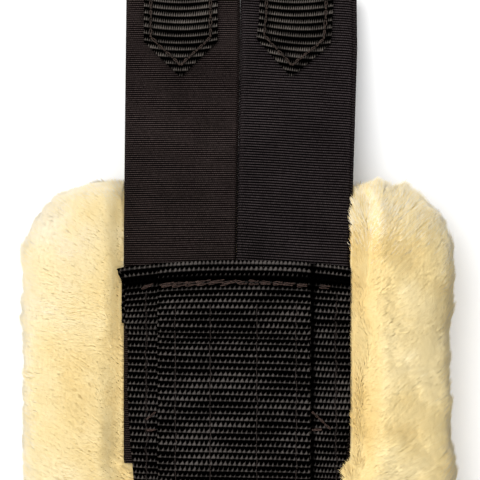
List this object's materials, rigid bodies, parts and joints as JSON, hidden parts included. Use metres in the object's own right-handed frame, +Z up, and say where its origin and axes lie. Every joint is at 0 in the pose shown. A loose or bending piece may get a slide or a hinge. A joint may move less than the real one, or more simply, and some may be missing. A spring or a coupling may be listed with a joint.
{
  "type": "saddle girth",
  "caption": "Short lambskin-padded saddle girth: black webbing body, paired elastic straps at each end and roller buckles for the billets.",
  "frame": {"origin": "on the wool's underside, at the middle of the girth's length and width", "axes": "+X along the girth to its near-side end, +Y to the horse's front, +Z up, away from the horse, webbing side up"},
  "size_m": [0.7062, 0.144, 0.039],
  "materials": {
    "wool": "deep clipped lambskin pile, natural cream yellow",
    "hide": "tanned lambskin, flesh side",
    "felt": "dense wool felt",
    "webbing": "black ribbed polypropylene webbing",
    "chape_webbing": "coarse black ribbed webbing with heat-cut edges",
    "elastic": "black fine-ribbed woven elastic",
    "thread": "brown-black bonded sewing thread",
    "steel": "polished stainless steel wire and tube"
  },
  "bodies": {
    "root": {"wool_pile": "wool", "sheepskin_hide": "hide", "felt_core": "felt", "base_webbing": "webbing", "overlay_webbing": "webbing", "near_cross_seam": "thread", "near_anchor_seam": "thread", "off_cross_seam": "thread", "off_anchor_seam": "thread", "overlay_long_seams": "thread", "base_long_seams": "thread", "near_front_elastic_face": "elastic", "near_front_elastic_backing": "elastic", "near_rear_elastic_face": "elastic", "near_rear_elastic_backing": "elastic", "off_front_elastic_face": "elastic", "off_front_elastic_backing": "elastic", "off_rear_elastic_face": "elastic", "off_rear_elastic_backing": "elastic"},
    "near_front_strap_end": {"near_front_chape": "chape_webbing", "near_front_chape_seam": "thread"},
    "near_front_buckle": {"near_front_buckle_frame": "steel"},
    "near_front_roller_body": {"near_front_roller": "steel"},
    "near_front_tongue_body": {"near_front_tongue": "steel"},
    "near_rear_strap_end": {"near_rear_chape": "chape_webbing", "near_rear_chape_seam": "thread"},
    "near_rear_buckle": {"near_rear_buckle_frame": "steel"},
    "near_rear_roller_body": {"near_rear_roller": "steel"},
    "near_rear_tongue_body": {"near_rear_tongue": "steel"},
    "off_front_strap_end": {"off_front_chape": "chape_webbing", "off_front_chape_seam": "thread"},
    "off_front_buckle": {"off_front_buckle_frame": "steel"},
    "off_front_roller_body": {"off_front_roller": "steel"},
    "off_front_tongue_body": {"off_front_tongue": "steel"},
    "off_rear_strap_end": {"off_rear_chape": "chape_webbing", "off_rear_chape_seam": "thread"},
    "off_rear_buckle": {"off_rear_buckle_frame": "steel"},
    "off_rear_roller_body": {"off_rear_roller": "steel"},
    "off_rear_tongue_body": {"off_rear_tongue": "steel"}
  },
  "joints": [
    {"name": "near_front_stretch", "type": "slide", "parent": "root", "child": "near_front_strap_end", "axis": [1, 0, 0], "range_m": [0, 0.022], "stiffness_N_per_m": 6000, "deforming": ["near_front_elastic_face", "near_front_elastic_backing"]},
    {"name": "near_front_buckle_swing", "type": "hinge", "parent": "near_front_strap_end", "child": "near_front_buckle", "pos_m": [0.32, 0.0196, 0.006], "axis": [0, -1, 0], "range_deg": [-55, 55]},
    {"name": "near_front_tongue_lift", "type": "hinge", "parent": "near_front_buckle", "child": "near_front_tongue_body", "pos_m": [0.32, 0.0196, 0.006], "axis": [0, -1, 0], "range_deg": [0, 80]},
    {"name": "near_front_roller_spin", "type": "hinge", "parent": "near_front_buckle", "child": "near_front_roller_body", "pos_m": [0.3479, 0.0196, 0.00365], "axis": [0, 1, 0], "continuous": true},
    {"name": "near_rear_stretch", "type": "slide", "parent": "root", "child": "near_rear_strap_end", "axis": [1, 0, 0], "range_m": [0, 0.022], "stiffness_N_per_m": 6000, "deforming": ["near_rear_elastic_face", "near_rear_elastic_backing"]},
    {"name": "near_rear_buckle_swing", "type": "hinge", "parent": "near_rear_strap_end", "child": "near_rear_buckle", "pos_m": [0.32, -0.0196, 0.006], "axis": [0, -1, 0], "range_deg": [-55, 55]},
    {"name": "near_rear_tongue_lift", "type": "hinge", "parent": "near_rear_buckle", "child": "near_rear_tongue_body", "pos_m": [0.32, -0.0196, 0.006], "axis": [0, -1, 0], "range_deg": [0, 80]},
    {"name": "near_rear_roller_spin", "type": "hinge", "parent": "near_rear_buckle", "child": "near_rear_roller_body", "pos_m": [0.3479, -0.0196, 0.00365], "axis": [0, 1, 0], "continuous": true},
    {"name": "off_front_stretch", "type": "slide", "parent": "root", "child": "off_front_strap_end", "axis": [-1, 0, 0], "range_m": [0, 0.022], "stiffness_N_per_m": 6000, "deforming": ["off_front_elastic_face", "off_front_elastic_backing"]},
    {"name": "off_front_buckle_swing", "type": "hinge", "parent": "off_front_strap_end", "child": "off_front_buckle", "pos_m": [-0.32, 0.0196, 0.006], "axis": [0, 1, 0], "range_deg": [-55, 55]},
    {"name": "off_front_tongue_lift", "type": "hinge", "parent": "off_front_buckle", "child": "off_front_tongue_body", "pos_m": [-0.32, 0.0196, 0.006], "axis": [0, 1, 0], "range_deg": [0, 80]},
    {"name": "off_front_roller_spin", "type": "hinge", "parent": "off_front_buckle", "child": "off_front_roller_body", "pos_m": [-0.3479, 0.0196, 0.00365], "axis": [0, 1, 0], "continuous": true},
    {"name": "off_rear_stretch", "type": "slide", "parent": "root", "child": "off_rear_strap_end", "axis": [-1, 0, 0], "range_m": [0, 0.022], "stiffness_N_per_m": 6000, "deforming": ["off_rear_elastic_face", "off_rear_elastic_backing"]},
    {"name": "off_rear_buckle_swing", "type": "hinge", "parent": "off_rear_strap_end", "child": "off_rear_buckle", "pos_m": [-0.32, -0.0196, 0.006], "axis": [0, 1, 0], "range_deg": [-55, 55]},
    {"name": "off_rear_tongue_lift", "type": "hinge", "parent": "off_rear_buckle", "child": "off_rear_tongue_body", "pos_m": [-0.32, -0.0196, 0.006], "axis": [0, 1, 0], "range_deg": [0, 80]},
    {"name": "off_rear_roller_spin", "type": "hinge", "parent": "off_rear_buckle", "child": "off_rear_roller_body", "pos_m": [-0.3479, -0.0196, 0.00365], "axis": [0, 1, 0], "continuous": true}
  ]
}
